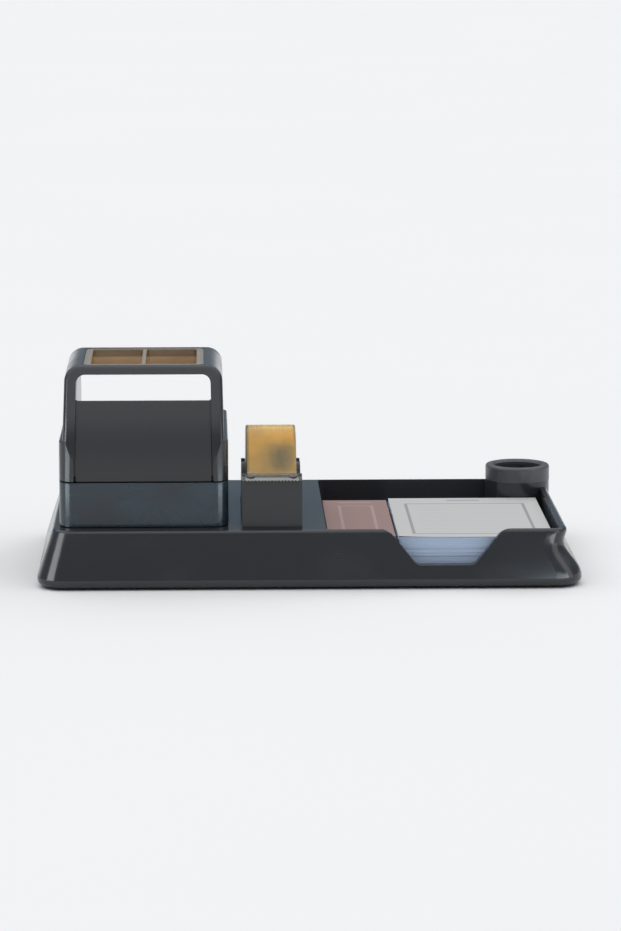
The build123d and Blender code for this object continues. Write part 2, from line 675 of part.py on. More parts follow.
def deck_screws(spots):
    """Screws from under the deck, up into posts at the given places."""
    seat, tip = BASE_TOP - DECK, BASE_TOP + SCREW_LENGTH - 1
    return group(screw(x, y, seat, tip, SCREW_RADIUS - RUNNING) for x, y in spots)


def tower_screws():
    """Two screws into the tower's posts."""
    return deck_screws(tower_post_spots())


# ---- Drawer -------------------------------------------------------------------------------------
def drawer():
    """Open box with a front as wide as the tower, its corners rounded like the tower's."""
    z0 = BASE_TOP + DRAWER_LIFT
    top = z0 + DRAWER_FRONT_HEIGHT
    y1 = TOWER_Y0 + DRAWER_RETURN
    face = slab(TOWER_X0, TOWER_X1, TOWER_Y0, y1 + TOWER_CORNER + 1, z0, top, TOWER_CORNER)
    face = fillet(face.faces().sort_by(Axis.Z)[-1].edges(), DRAWER_EDGE_ROUNDING)
    face -= slab(TOWER_X0 - 1, TOWER_X1 + 1, y1, y1 + TOWER_CORNER + 2, z0 - 1, top + 1)
    gap = TOWER_WALL + MOVING_GAP
    x0, x1 = TOWER_X0 + gap, TOWER_X1 - gap
    side_top = z0 + DRAWER_SIDE_HEIGHT
    box = slab(x0, x1, TOWER_Y0 + TOWER_CORNER, DRAWER_Y1, z0, side_top)
    box += face
    box -= slab(
        x0 + DRAWER_WALL, x1 - DRAWER_WALL, TOWER_Y0 + DRAWER_FRONT, DRAWER_Y1 - DRAWER_WALL,
        z0 + DRAWER_WALL, top + 1, DRAWER_INNER_CORNER,
    )
    for x in stop_places():
        box += slab(
            x - STOP_TAB / 2, x + STOP_TAB / 2, DRAWER_Y1 - DRAWER_WALL, DRAWER_Y1,
            side_top - 1, SHELL_FRONT_Z - MOVING_GAP,
        )
    return box


# ---- Tape dispenser -------------------------------------------------------------------------------
def roll_radius():
    """Radius of a full roll."""
    return ROLL_DIAMETER / 2


def well_front():
    """Front wall of the well, just behind the block."""
    return BLOCK_Y0 + BLOCK_DEPTH


def well_back():
    """Back wall of the well, clear of the roll."""
    return AXLE_Y + roll_radius() + ROLL_UNDER_GAP + TUB_WALL


def block_top_points():
    """Block's front face and top: a slope for the blade, then a ridge that the tape crosses."""
    y0, ridge_y = BLOCK_Y0, BLOCK_Y0 + BLOCK_DEPTH - RIDGE
    return [
        (y0, BASE_TOP), (y0 + BLOCK_LEAN, BLOCK_TOP - BLADE_DROP), (ridge_y, BLOCK_TOP - BLADE),
        (ridge_y, BLOCK_TOP), (y0 + BLOCK_DEPTH, BLOCK_TOP),
    ]


def cheek_points():
    """Rest of the side view: down behind the ridge, up to the axle, and round to the deck."""
    dip = BLOCK_TOP - CHEEK_DIP
    return [
        (well_front() + CHEEK_DIP_START, dip), (AXLE_Y - AXLE_TAB_FOOT, dip),
        (AXLE_Y - AXLE_TAB_TOP, BLOCK_TOP), (AXLE_Y + AXLE_TAB_TOP, BLOCK_TOP),
        (well_back() - CHEEK_END_RUN, BASE_TOP + CHEEK_END_HEIGHT), (well_back(), BASE_TOP),
    ]


def dispenser_body():
    """Front block, two cheeks with axle slots and the well below the deck, in one moulding."""
    points = block_top_points() + cheek_points()
    body = seen_from_side(points, BLOCK_ROUNDINGS + CHEEK_ROUNDINGS, BLOCK_X0, BLOCK_X1)
    # Well below the deck
    tub_top = BASE_TOP + 1.0
    roll_low = AXLE_Z - roll_radius() - ROLL_UNDER_GAP
    body += slab(BLOCK_X0, BLOCK_X1, well_front(), well_back(), roll_low - TUB_WALL, tub_top)
    inner = DISPENSER_WIDTH / 2 - CHEEK
    body -= slab(
        BLOCK_X - inner, BLOCK_X + inner, well_front() + TUB_WALL, well_back() - TUB_WALL,
        roll_low, BLOCK_TOP + 1,
    )
    # Hollow inside the block, with posts for the screws
    hollow = slab(
        BLOCK_X0 + CHEEK, BLOCK_X1 - CHEEK, BLOCK_Y0 + BLOCK_LEAN + CHEEK, well_front() - LAP,
        BASE_TOP - 1, BLOCK_TOP - BLADE_DROP - CHEEK,
    )
    for x, y in dispenser_post_spots():
        hollow -= rod(x, y, BASE_TOP - 2, BLOCK_TOP, BOSS_RADIUS)
    body -= hollow
    for x, y in dispenser_post_spots():
        body -= rod(x, y, BASE_TOP - 1, BASE_TOP + SCREW_LENGTH, SCREW_RADIUS)
    # Slots that the hub's stub axles drop into
    slot = AXLE_RADIUS + RUNNING
    body -= drum(BLOCK_X0 - 1, BLOCK_X1 + 1, AXLE_Y, AXLE_Z, slot)
    body -= slab(BLOCK_X0 - 1, BLOCK_X1 + 1, AXLE_Y - slot, AXLE_Y + slot, AXLE_Z, BLOCK_TOP + 1)
    for x, y in rivet_spots():
        body -= blade_place(Cylinder(RIVET_RADIUS, 2 * RIVET_LENGTH), x, y)
    return body


def blade_slope():
    """Angle of the blade's seat, falling to the front, and its lowest point."""
    points = block_top_points()
    (y0, z0), (y1, z1) = points[1], points[2]
    return degrees(atan2(z1 - z0, y1 - y0)), y0, z0, hypot(y1 - y0, z1 - z0)


def blade_place(shape, x, along, above=0.0):
    """Puts a shape on the blade's seat: x across, along from its front edge, above its face."""
    angle, y0, z0, _ = blade_slope()
    return Pos(x, y0, z0) * Rot(angle, 0, 0) * Pos(0, along, above) * shape


def rivet_spots():
    """Two rivets through the blade, towards its ends."""
    length = blade_slope()[3]
    reach = DISPENSER_WIDTH / 2 - RIVET_INSET
    return [(BLOCK_X - reach, length - RIVET_SETBACK), (BLOCK_X + reach, length - RIVET_SETBACK)]


def cutter_blade():
    """Steel strip with a row of teeth past the block's front edge."""
    length = blade_slope()[3] - FIT
    half = DISPENSER_WIDTH / 2 - BLADE_INSET
    pitch = 2 * half / BLADE_TEETH
    points = [(-half, length), (-half, -BLADE_OVERHANG + pitch * TOOTH_SHARE)]
    for i in range(BLADE_TEETH):
        points.append((-half + pitch * (i + 0.5), -BLADE_OVERHANG))
        points.append((-half + pitch * (i + 1), -BLADE_OVERHANG + pitch * TOOTH_SHARE))
    points.append((half, length))
    strip = extrude(make_face(Polyline(*points, close=True)), amount=BLADE)
    blade = blade_place(strip, BLOCK_X, 0.0)
    for x, y in rivet_spots():
        blade -= blade_place(Cylinder(RIVET_RADIUS, 4 * BLADE), x, y)
    return blade


def blade_rivets():
    """Round-head rivets that hold the blade."""
    shank = Pos(0, 0, (BLADE - RIVET_LENGTH) / 2) * Cylinder(RIVET_RADIUS, BLADE + RIVET_LENGTH)
    head = Pos(0, 0, BLADE + RIVET_HEAD / 2) * Cylinder(RIVET_HEAD_RADIUS, RIVET_HEAD)
    return group(blade_place(shank + head, x, y) for x, y in rivet_spots())


def dispenser_screws():
    """Two screws into the posts of the dispenser's block."""
    return deck_screws(dispenser_post_spots())


def hub_half(side):
    """Half of the hub: a drum with a web at its end and a stub axle."""
    radius = CORE_BORE / 2 - FIT / 2
    end = TAPE_WIDTH / 2
    stub = DISPENSER_WIDTH / 2 - FIT
    half = drum(0, end, 0, 0, radius) - drum(-1, end - HUB_WALL, 0, 0, radius - HUB_WALL)
    half += drum(end - HUB_WALL, stub, 0, 0, AXLE_RADIUS)
    half += drum(end - HUB_BOSS, end - HUB_WALL, 0, 0, AXLE_RADIUS + HUB_WALL)
    if side > 0:
        reach = -HUB_OVERLAP
        half += drum(reach, end - HUB_WALL, 0, 0, radius - HUB_WALL) - drum(
            reach - 1, end - HUB_WALL, 0, 0, radius - 2 * HUB_WALL
        )
        half -= drum(reach - 1, 0, 0, 0, radius + 1) - drum(reach - 1, 0, 0, 0, radius - HUB_WALL - RUNNING)
        return Pos(BLOCK_X, AXLE_Y, AXLE_Z) * half
    return Pos(BLOCK_X, AXLE_Y, AXLE_Z) * mirror(half, about=Plane.YZ)


def hub_left():
    """Half of the hub that the other half plugs into."""
    return hub_half(-1)


def hub_right():
    """Half of the hub with the inner spigot."""
    return hub_half(1)


def ring_along_x(inner, outer):
    """Ring as wide as the tape, centred on the hub's axis."""
    x0, x1 = BLOCK_X - TAPE_WIDTH / 2, BLOCK_X + TAPE_WIDTH / 2
    return drum(x0, x1, AXLE_Y, AXLE_Z, outer) - drum(x0 - 1, x1 + 1, AXLE_Y, AXLE_Z, inner)


def tape_core():
    """Card core of the roll."""
    return ring_along_x(CORE_BORE / 2, CORE_BORE / 2 + CORE_WALL)


def tape_roll():
    """The wound tape, as one solid ring."""
    return ring_along_x(CORE_BORE / 2 + CORE_WALL, roll_radius())


def tape_lead():
    """Free end of the tape: a straight run from the roll's front to the ridge of the block."""
    radius = roll_radius() + ROLL_SIDE_GAP
    rest_y, rest_z = well_front() - RIDGE / 2, BLOCK_TOP
    dy, dz = AXLE_Y - rest_y, AXLE_Z - rest_z
    far = hypot(dy, dz)
    run = sqrt(far * far - radius * radius)
    angle = atan2(dz, dy) + acos(run / far)
    along = Vector(cos(angle), sin(angle))
    up = Vector(-sin(angle), cos(angle))
    start = Vector(rest_y, rest_z)
    end = start + along * run
    front = Vector(rest_y - RIDGE / 2, rest_z)
    rise = Vector(0, TAPE_LEAD)
    points = [front, start, end, end + up * TAPE_LEAD, start + rise, front + rise]
    x0, x1 = BLOCK_X - TAPE_WIDTH / 2 + FIT, BLOCK_X + TAPE_WIDTH / 2 - FIT
    return seen_from_side([(p.X, p.Y) for p in points], 0, x0, x1)


# ---- Clip cup, paper ------------------------------------------------------------------------------
def cup_top():
    """Height of the cup's rim, under the magnet."""
    return SOCKET_TOP + CUP_RISE


def cup_radius():
    """Outer radius of the cup and of the magnet on it."""
    return SOCKET_RADIUS - SOCKET_WALL - FIT


def clip_cup():
    """Plain cup that drops into the corner socket."""
    radius = cup_radius()
    cup = rod(CUP_X, CUP_Y, TRAY_FLOOR, cup_top(), radius)
    return cup - rod(CUP_X, CUP_Y, TRAY_FLOOR + CUP_FLOOR, cup_top() + 1, radius - CUP_WALL)


def cup_collar():
    """Ring on the socket's rim, over the cup, with a groove below for the magnet."""
    radius, top = cup_radius(), SOCKET_TOP + COLLAR_RISE
    collar = rod(CUP_X, CUP_Y, SOCKET_TOP, top, SOCKET_RADIUS)
    collar = fillet(collar.faces().sort_by(Axis.Z)[-1].edges(), COLLAR_ROUNDING)
    collar -= rod(CUP_X, CUP_Y, SOCKET_TOP - 1, cup_top() + MAGNET_HEIGHT + FIT, radius + FIT / 2)
    mouth = radius - MAGNET_WALL
    bore = rod(CUP_X, CUP_Y, SOCKET_TOP, top + 1, mouth)
    dish = Pos(CUP_X, CUP_Y, top) * Cone(mouth, mouth + 2 * COLLAR_DISH, 2 * COLLAR_DISH)
    return collar - bore - dish


def ring_magnet():
    """Ring magnet between the cup's rim and the collar."""
    radius = cup_radius()
    ring = rod(CUP_X, CUP_Y, cup_top(), cup_top() + MAGNET_HEIGHT, radius)
    return ring - rod(CUP_X, CUP_Y, cup_top() - 1, cup_top() + MAGNET_HEIGHT + 1, radius - MAGNET_WALL)


def memo_sheets():
    """Stack of loose sheets."""
    x1, y1 = SHEET_X0 + SHEET_WIDTH, SHEET_Y0 + SHEET_LENGTH
    return slab(SHEET_X0, x1, SHEET_Y0, y1, TRAY_FLOOR, TRAY_FLOOR + STACK_HEIGHT)


def note_pad():
    """Narrow glued pad beside the sheets."""
    x1, y1 = PAD_X0 + PAD_WIDTH, SHEET_Y0 + PAD_LENGTH
    return slab(PAD_X0, x1, SHEET_Y0, y1, TRAY_FLOOR, TRAY_FLOOR + STACK_HEIGHT)


PIECES = {
    "base_shell": base_shell,
    "bottom_plate": bottom_plate,
    "plate_screws": plate_screws,
    "rubber_feet": rubber_feet,
    "ballast_plate": ballast_plate,
    "ballast_screws": ballast_screws,
    "tower_shell": tower_shell,
    "tower_panel": tower_panel,
    "pen_floor": pen_floor,
    "pen_insert": pen_insert,
    "tower_screws": tower_screws,
    "drawer": drawer,
    "dispenser_body": dispenser_body,
    "dispenser_screws": dispenser_screws,
    "cutter_blade": cutter_blade,
    "blade_rivets": blade_rivets,
    "hub_left": hub_left,
    "hub_right": hub_right,
    "tape_core": tape_core,
    "tape_roll": tape_roll,
    "tape_lead": tape_lead,
    "clip_cup": clip_cup,
    "cup_collar": cup_collar,
    "ring_magnet": ring_magnet,
    "memo_sheets": memo_sheets,
    "note_pad": note_pad,
}

os.makedirs("parts", exist_ok=True)
for name, make in PIECES.items():
    export_step(make(), f"parts/{name}.step")
print(f"base {BASE_LENGTH:.1f} x {BASE_DEPTH:.1f}, height {OVERALL_HEIGHT:.1f}")
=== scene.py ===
import logging
import math
import random
from collections.abc import Iterable, Sequence
from dataclasses import dataclass
from enum import Enum

import bmesh
import bpy
from bmesh.types import BMesh, BMVert
from mathutils import Matrix, Vector


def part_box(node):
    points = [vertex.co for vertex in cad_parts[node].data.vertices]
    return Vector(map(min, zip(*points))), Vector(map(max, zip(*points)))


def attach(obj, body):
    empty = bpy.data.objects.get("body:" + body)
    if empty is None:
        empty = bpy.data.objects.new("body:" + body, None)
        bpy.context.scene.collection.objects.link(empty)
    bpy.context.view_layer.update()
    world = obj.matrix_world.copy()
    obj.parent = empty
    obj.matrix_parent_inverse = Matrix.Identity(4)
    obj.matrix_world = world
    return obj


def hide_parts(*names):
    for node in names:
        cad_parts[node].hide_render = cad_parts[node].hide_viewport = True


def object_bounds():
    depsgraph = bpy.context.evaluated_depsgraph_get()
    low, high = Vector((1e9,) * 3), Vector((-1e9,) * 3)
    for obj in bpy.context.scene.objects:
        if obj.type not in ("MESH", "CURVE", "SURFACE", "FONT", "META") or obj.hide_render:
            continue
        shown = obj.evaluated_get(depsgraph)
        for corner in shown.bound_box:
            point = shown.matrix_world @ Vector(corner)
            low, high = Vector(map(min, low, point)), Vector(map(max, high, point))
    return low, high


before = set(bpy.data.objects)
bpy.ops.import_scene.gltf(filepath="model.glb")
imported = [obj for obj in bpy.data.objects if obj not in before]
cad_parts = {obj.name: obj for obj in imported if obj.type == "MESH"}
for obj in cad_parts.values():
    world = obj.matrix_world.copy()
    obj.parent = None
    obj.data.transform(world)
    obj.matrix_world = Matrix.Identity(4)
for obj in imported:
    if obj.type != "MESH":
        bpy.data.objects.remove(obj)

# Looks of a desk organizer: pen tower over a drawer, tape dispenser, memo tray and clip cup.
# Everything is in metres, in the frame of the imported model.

CAD_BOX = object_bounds()
LOG = logging.getLogger("organizer")
MM = 0.001

Colour = tuple[float, float, float]
Point = tuple[float, float]


# ---- Shader expressions --------------------------------------------------------------------


class Field:
    """A number or colour that varies over a surface: one node output with arithmetic on it."""

    def __init__(self, graph: "Graph", socket: bpy.types.NodeSocket) -> None:
        """Keeps the output socket and the graph that it belongs to."""
        self.graph = graph
        self.socket = socket

    def _math(self, operation: str, first: "Field | float", second: "Field | float" = 0.0) -> "Field":
        """Adds one Math node.

        Args:
            operation: the node's operation.
            first: its first term.
            second: its second term.

        Returns:
            The node's result.
        """
        return self.graph.value("ShaderNodeMath", {"operation": operation}, {0: first, 1: second})

    def __add__(self, other: "Field | float") -> "Field":
        """Sum."""
        return self._math("ADD", self, other)

    def __sub__(self, other: "Field | float") -> "Field":
        """Difference."""
        return self._math("SUBTRACT", self, other)

    def __mul__(self, other: "Field | float") -> "Field":
        """Product."""
        return self._math("MULTIPLY", self, other)

    def __abs__(self) -> "Field":
        """Distance from zero."""
        return self._math("ABSOLUTE", self)

    def most(self, other: "Field | float") -> "Field":
        """The larger of this and another term."""
        return self._math("MAXIMUM", self, other)

    def root(self) -> "Field":
        """Square root."""
        return self._math("SQRT", self)

    def ramp(self, low: float, high: float, start: float = 0.0, end: float = 1.0) -> "Field":
        """Smooth step between two levels.

        Args:
            low: where the step begins.
            high: where it ends.
            start: result at and below low.
            end: result at and above high.

        Returns:
            The stepped value.
        """
        settings = {"interpolation_type": "SMOOTHSTEP"}
        return self.graph.value("ShaderNodeMapRange", settings, {0: self, 1: low, 2: high, 3: start, 4: end})


class Graph:
    """Node tree of one material or of the surroundings."""

    def __init__(self, owner: bpy.types.Material | bpy.types.World, coordinates: str = "Object") -> None:
        """Empties the owner's tree and makes the coordinates ready.

        Args:
            owner: what the tree belongs to.
            coordinates: the coordinates that patterns are placed by.
        """
        owner.use_nodes = True
        self.owner = owner
        self.tree = owner.node_tree
        self.tree.nodes.clear()
        self.place = self.value("ShaderNodeTexCoord", output=coordinates)

    @classmethod
    def material(cls, name: str) -> "Graph":
        """Graph of a new material."""
        return cls(bpy.data.materials.new(name))

    def node(self, kind: str, settings: dict | None = None, inputs: dict | None = None) -> bpy.types.Node:
        """Adds one node.

        Args:
            kind: the node's type.
            settings: its properties, set first; "stops" is a ramp's list of (place, colour).
            inputs: values or Fields by socket name or index.

        Returns:
            The node.
        """
        made = self.tree.nodes.new(kind)
        for name, setting in (settings or {}).items():
            if name == "stops":
                self._set_stops(made, setting)
            else:
                setattr(made, name, setting)
        for key, entry in (inputs or {}).items():
            if isinstance(entry, Field):
                self.tree.links.new(entry.socket, made.inputs[key])
            else:
                made.inputs[key].default_value = entry
        return made

    @staticmethod
    def _set_stops(ramp: bpy.types.Node, stops: Sequence[tuple[float, Colour]]) -> None:
        """Sets the stops of a colour ramp.

        Args:
            ramp: the ramp's node.
            stops: (place, colour) pairs in order.
        """
        elements = ramp.color_ramp.elements
        while len(elements) < len(stops):
            elements.new(1.0)
        for element, (place, colour) in zip(elements, stops):
            element.position = place
            element.color = (*colour, 1.0)

    def value(
        self, kind: str, settings: dict | None = None, inputs: dict | None = None, output: str | int = 0
    ) -> Field:
        """Adds one node and gives one of its outputs as a Field."""
        return Field(self, self.node(kind, settings, inputs).outputs[output])

    def at(self, centre: Sequence[float] = (0, 0, 0), scale: Sequence[float] = (1, 1, 1)) -> Field:
        """Object coordinates counted from a centre, then stretched.

        Args:
            centre: the point that becomes the origin, in metres.
            scale: stretch along each axis.

        Returns:
            The coordinates.
        """
        shift = tuple(-c * s for c, s in zip(centre, scale))
        inputs = {"Vector": self.place, "Location": shift, "Scale": scale}
        return self.value("ShaderNodeMapping", None, inputs)

    def axes(self, centre: Sequence[float] = (0, 0, 0)) -> tuple[Field, Field, Field]:
        """The three Object coordinates from a centre, in metres."""
        split = self.node("ShaderNodeSeparateXYZ", None, {0: self.at(centre)})
        return tuple(Field(self, output) for output in split.outputs)

    def noise(
        self, scale: float, detail: float = 2.0, stretch: Sequence[float] = (1, 1, 1), roughness: float = 0.5
    ) -> Field:
        """Soft noise between 0 and 1.

        Args:
            scale: waves per metre.
            detail: number of finer layers.
            stretch: stretch of the coordinates along each axis.
            roughness: weight of the finer layers.

        Returns:
            The noise.
        """
        inputs = {"Vector": self.at(scale=stretch), "Scale": scale, "Detail": detail, "Roughness": roughness}
        return self.value("ShaderNodeTexNoise", None, inputs, "Fac")

    def blend(self, amount: Field | float, low: Colour | Field, high: Colour | Field) -> Field:
        """Mixes two colours.

        Args:
            amount: 0 for the first colour, 1 for the second.
            low: the first colour.
            high: the second colour.

        Returns:
            The mixed colour.
        """
        first, second = (c if isinstance(c, Field) else (*c, 1.0) for c in (low, high))
        inputs = {0: amount, 6: first, 7: second}
        return self.value("ShaderNodeMix", {"data_type": "RGBA"}, inputs, 2)

    def bump(self, height: Field, depth: float, strength: float = 1.0) -> Field:
        """Surface direction after a fine relief.

        Args:
            height: relief between 0 and 1.
            depth: real depth of the relief in metres.
            strength: share of it that is used.

        Returns:
            The bent normal.
        """
        inputs = {"Strength": strength, "Distance": depth, "Height": height}
        return self.value("ShaderNodeBump", None, inputs, "Normal")

    def finish(self, inputs: dict) -> bpy.types.Material:
        """Closes the material with one Principled surface.

        Args:
            inputs: the surface's sockets.

        Returns:
            The material.
        """
        surface = self.value("ShaderNodeBsdfPrincipled", None, inputs)
        self.node("ShaderNodeOutputMaterial", None, {"Surface": surface})
        return self.owner


# ---- Finishes ---------------------------------------------------------------------------------


@dataclass(frozen=True)
class GlossPlastic:
    """Polished black moulding with faint smears, dust and hair scratches."""

    name: str
    colour: Colour
    dust_colour: Colour = (0.10, 0.105, 0.12)
    polish: float = 0.16
    smear: float = 0.09
    dust: float = 0.35

    def build(self) -> bpy.types.Material:
        """Makes the material.

        Returns:
            The finish, ready to dress a piece in.
        """
        g = Graph.material(self.name)
        smears = g.noise(38.0, 4.0, (1.0, 1.0, 1.7)).ramp(0.46, 0.72)
        scratches = g.noise(1500.0, 1.0, (0.03, 1.0, 1.0)).ramp(0.70, 0.78)
        specks = g.noise(2600.0, 1.0).ramp(0.74, 0.80) * g.noise(60.0, 2.0).ramp(0.45, 0.65)
        colour = g.blend(specks * self.dust, self.colour, self.dust_colour)
        ripple = g.noise(55.0, 2.0) * 0.7 + g.noise(900.0, 2.0) * 0.3
        return g.finish({
            "Base Color": colour,
            "Roughness": smears * self.smear + scratches * 0.05 + specks * 0.3 + self.polish,
            "IOR": 1.48,
            "Normal": g.bump(ripple, 0.04 * MM, 0.5),
        })


@dataclass(frozen=True)
class SatinPlastic:
    """Moulding with a fine spark-eroded grain."""

    name: str
    colour: Colour
    grain: float = 1700.0
    roughness: float = 0.42

    def build(self) -> bpy.types.Material:
        """Makes the material.

        Returns:
            The finish, ready to dress a piece in.
        """
        g = Graph.material(self.name)
        grain = g.noise(self.grain, 3.0, roughness=0.6)
        wear = g.noise(70.0, 4.0).ramp(0.45, 0.75)
        lighter = tuple(c * 1.7 + 0.004 for c in self.colour)
        return g.finish({
            "Base Color": g.blend(wear * 0.4 + grain * 0.3, self.colour, lighter),
            "Roughness": grain * 0.16 + wear * 0.08 + (self.roughness - 0.1),
            "IOR": 1.53,
            "Normal": g.bump(grain, 0.03 * MM, 0.8),
        })


@dataclass(frozen=True)
class ClearPlastic:
    """Tinted see-through moulding with flow marks and a polished skin.

    Above edge_height less edge_depth, its top edges are blended towards a pale painted highlight colour;
    edge_height starts out above the whole object.
    """

    name: str
    colour: Colour
    deep_colour: Colour
    clearness: float
    roughness: float = 0.10
    # Colour of the painted highlight along the top edges.
    highlight_colour: Colour = (0.0, 0.0, 0.0)
    edge_height: float = 10.0
    edge_depth: float = 1.0 * MM

    def build(self) -> bpy.types.Material:
        """Makes the material.

        Returns:
            The finish, ready to dress a piece in.
        """
        g = Graph.material(self.name)
        flow = g.noise(45.0, 3.0, (1.0, 0.4, 2.2))
        smears = g.noise(60.0, 4.0).ramp(0.5, 0.75)
        # Painted highlight: a pale band along the top edges, from edge_height less edge_depth upwards.
        height = g.axes((0.0, 0.0, self.edge_height - self.edge_depth))[2]
        edge = height.ramp(0.0, self.edge_depth, 0.0, 0.85)
        body = g.blend(flow.ramp(0.3, 0.7), self.colour, self.deep_colour)
        return g.finish({
            "Base Color": g.blend(edge, body, self.highlight_colour),
            "Roughness": smears * 0.10 + self.roughness,
            "IOR": 1.49,
            "Transmission Weight": self.clearness,
            "Normal": g.bump(flow * 0.8 + g.noise(700.0, 2.0) * 0.2, 0.05 * MM, 0.5),
        })


@dataclass(frozen=True)
class WoundTape:
    """Roll of clear yellowish tape: rings of turns on its sides, fine lines and clouds round its rim, painted
    shade on its side edges, and a painted dark patch on its front where the dark hub and block show through.
    """

    name: str
    axis: tuple[float, float, float]
    half_width: float
    radius: float
    colour: Colour = (0.96, 0.67, 0.21)
    deep_colour: Colour = (0.72, 0.45, 0.13)
    # Colour of the painted shade on the roll's side edges and of its painted dark patch; the faint random
    # clouds use it too.
    shade_and_cloud_colour: Colour = (0.070, 0.046, 0.034)
    turns: float = 5200.0
    patch_angle: float = math.radians(36.0)
    patch_side: float = 5.0 * MM
    patch_size: float = 13.5 * MM

    def build(self) -> bpy.types.Material:
        """Makes the material.

        Returns:
            The finish, ready to dress a piece in.
        """
        g = Graph.material(self.name)
        x, y, z = g.axes(self.axis)
        radius = (y * y + z * z).root()
        place = g.value("ShaderNodeCombineXYZ", None, {0: radius, 1: 0.0, 2: 0.0})
        inputs = {"Vector": place, "Scale": self.turns, "Detail": 3.0}
        rings = g.value("ShaderNodeTexNoise", None, inputs, "Fac")
        slow = g.value("ShaderNodeTexNoise", None, {"Vector": place, "Scale": 420.0, "Detail": 2.0}, "Fac")
        lines = g.noise(900.0, 2.0, (1.0, 0.05, 0.05))
        wound = (rings * 0.45 + slow * 0.55).ramp(0.35, 0.70)
        shade = wound * 0.5 + g.noise(110.0, 3.0).ramp(0.35, 0.75) * 0.5
        body = g.blend(shade, self.colour, self.deep_colour)
        # Painted shade: the roll's side edges darken, and a painted dark patch sits on its front.
        edge = abs(x).ramp(self.half_width - 1.9 * MM, self.half_width - 0.5 * MM)
        dark = (edge * 0.68).most(self._painted_patch(g, x, y, z))
        return g.finish({
            "Base Color": g.blend(dark, body, self.shade_and_cloud_colour),
            "Roughness": lines * 0.10 + rings * 0.12 + 0.14,
            "IOR": 1.45,
            "Subsurface Weight": 0.55,
            "Subsurface Radius": (0.006, 0.0035, 0.0012),
            "Subsurface Scale": 0.8,
            "Normal": g.bump(rings * 0.6 + lines * 0.4, 0.05 * MM, 0.6),
        })

    def _painted_patch(self, g: Graph, x: Field, y: Field, z: Field) -> Field:
        """Painted dark patch on the roll's front where the dark hub and block show through, with faint random
        clouds.

        Args:
            g: the material's graph.
            x: distance from the roll's middle along its axis.
            y: distance from the axis towards the back.
            z: height above the axis.

        Returns:
            The share of the painted shade colour.
        """
        off_y = y + self.radius * math.cos(self.patch_angle)
        off_z = z - self.radius * math.sin(self.patch_angle)
        off_x = x - self.patch_side
        distance = (off_x * off_x + off_y * off_y + off_z * off_z).root()
        wobble = g.noise(95.0, 4.0) * (0.9 * self.patch_size)
        spot = (distance + wobble).ramp(0.55 * self.patch_size, 1.6 * self.patch_size, 0.96, 0.0)
        clouds = g.noise(75.0, 3.0).ramp(0.52, 0.78, 0.0, 0.28)
        return spot.most(clouds)


@dataclass(frozen=True)
class TapeFilm:
    """One layer of clear yellowish tape."""

    name: str
    colour: Colour = (0.995, 0.87, 0.50)
    deep_colour: Colour = (0.98, 0.81, 0.40)

    def build(self) -> bpy.types.Material:
        """Makes the material.

        Returns:
            The finish, ready to dress a piece in.
        """
        g = Graph.material(self.name)
        lines = g.noise(700.0, 2.0, (1.0, 0.04, 0.04))
        clouds = g.noise(130.0, 3.0)
        return g.finish({
            "Base Color": g.blend(clouds.ramp(0.35, 0.7), self.colour, self.deep_colour),
            "Roughness": lines * 0.12 + 0.06,
            "IOR": 1.30,
            "Transmission Weight": 0.97,
            "Normal": g.bump(lines * 0.5 + clouds * 0.5, 0.03 * MM, 0.5),
        })


@dataclass(frozen=True)
class BrushedSteel:
    """Steel with grinding lines along X and stains; its ground lower edge stays bright, partly a real ground
    finish and partly a painted highlight, and the rest is darkened as painted shade.
    """

    name: str
    edge_height: float
    edge_width: float = 1.3 * MM
    colour: Colour = (0.30, 0.29, 0.265)
    # Darker colour, used for the painted shade above the lower edge and for the real stains.
    shade_and_stain_colour: Colour = (0.085, 0.084, 0.080)

    def build(self) -> bpy.types.Material:
        """Makes the material.

        Returns:
            The finish, ready to dress a piece in.
        """
        g = Graph.material(self.name)
        lines = g.noise(4200.0, 3.0, (0.02, 1.0, 1.0))
        stains = g.noise(240.0, 3.0).ramp(0.5, 0.8)
        # Painted highlight and shade: a bright band just above the lower edge, with the rest and the stains
        # darkened towards one colour.
        height = g.axes((0.0, 0.0, self.edge_height))[2]
        shade_and_stains = height.ramp(self.edge_width, 1.4 * self.edge_width).most(stains * 0.4)
        return g.finish({
            "Base Color": g.blend(shade_and_stains, self.colour, self.shade_and_stain_colour),
            "Metallic": 1.0,
            "Roughness": lines * 0.22 + stains * 0.15 + 0.16,
            "Normal": g.bump(lines, 0.02 * MM, 0.6),
        })


@dataclass(frozen=True)
class PlatedSteel:
    """Plated or mill-finish steel with a mottled skin."""

    name: str
    colour: Colour
    shade: Colour
    roughness: float = 0.30

    def build(self) -> bpy.types.Material:
        """Makes the material.

        Returns:
            The finish, ready to dress a piece in.
        """
        g = Graph.material(self.name)
        mottle = g.noise(420.0, 4.0)
        pits = g.noise(2400.0, 1.0).ramp(0.66, 0.76)
        return g.finish({
            "Base Color": g.blend(mottle.ramp(0.35, 0.7), self.colour, self.shade),
            "Metallic": 1.0,
            "Roughness": mottle * 0.2 + pits * 0.2 + (self.roughness - 0.1),
            "Normal": g.bump(mottle * 0.5 + pits * 0.5, 0.02 * MM, 0.6),
        })


@dataclass(frozen=True)
class MattRubber:
    """Soft rubber with a powdery bloom."""

    name: str
    colour: Colour = (0.022, 0.022, 0.023)

    def build(self) -> bpy.types.Material:
        """Makes the material.

        Returns:
            The finish, ready to dress a piece in.
        """
        g = Graph.material(self.name)
        bloom = g.noise(300.0, 4.0).ramp(0.42, 0.75)
        grain = g.noise(2600.0, 2.0)
        return g.finish({
            "Base Color": g.blend(bloom * 0.5, self.colour, (0.075, 0.073, 0.070)),
            "Roughness": grain * 0.12 + 0.72,
            "Normal": g.bump(grain, 0.04 * MM, 0.7),
        })


